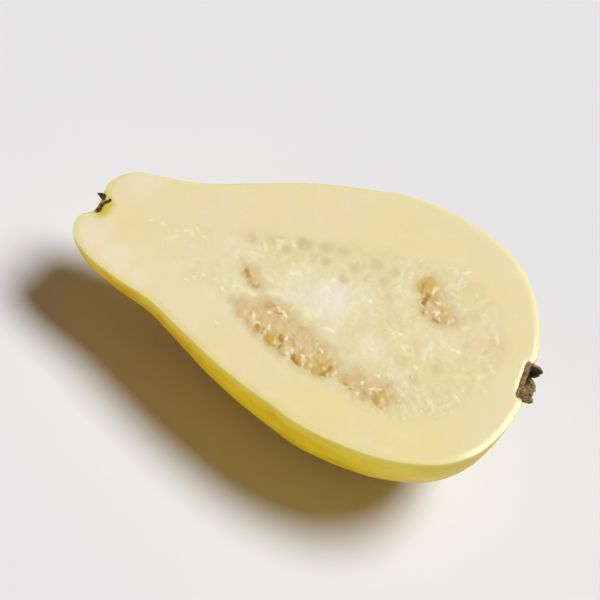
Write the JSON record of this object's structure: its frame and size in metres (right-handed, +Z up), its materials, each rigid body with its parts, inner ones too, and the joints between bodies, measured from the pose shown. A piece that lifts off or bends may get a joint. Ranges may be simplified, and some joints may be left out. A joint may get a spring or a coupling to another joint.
{
  "type": "guava half",
  "caption": "Pear-shaped guava half, cut lengthwise, lying on its skin with the cream flesh, pulp and seed pockets facing up.",
  "frame": {"origin": "middle of the bounding box, at the height of the surface that the fruit rests on", "axes": "+X along the fruit from its narrow stem end to its wide calyx end, +Z up, and the cut face leans towards -Y"},
  "size_m": [0.1002, 0.0648, 0.0407],
  "materials": {
    "flesh_and_skin": "moist cream flesh inside thin satin yellow skin",
    "stem_scar": "dry and corky",
    "dry_calyx": "dry and wrinkled",
    "seeds": "wet, in moist pulp"
  },
  "bodies": {
    "root": {"fruit_half": "flesh_and_skin", "stem_scar": "stem_scar", "calyx_cup": "dry_calyx", "seeds_long_pocket": "seeds", "seeds_lower_pocket": "seeds", "seeds_far_pocket": "seeds", "seed_small_pocket": "seeds"}
  },
  "joints": []
}
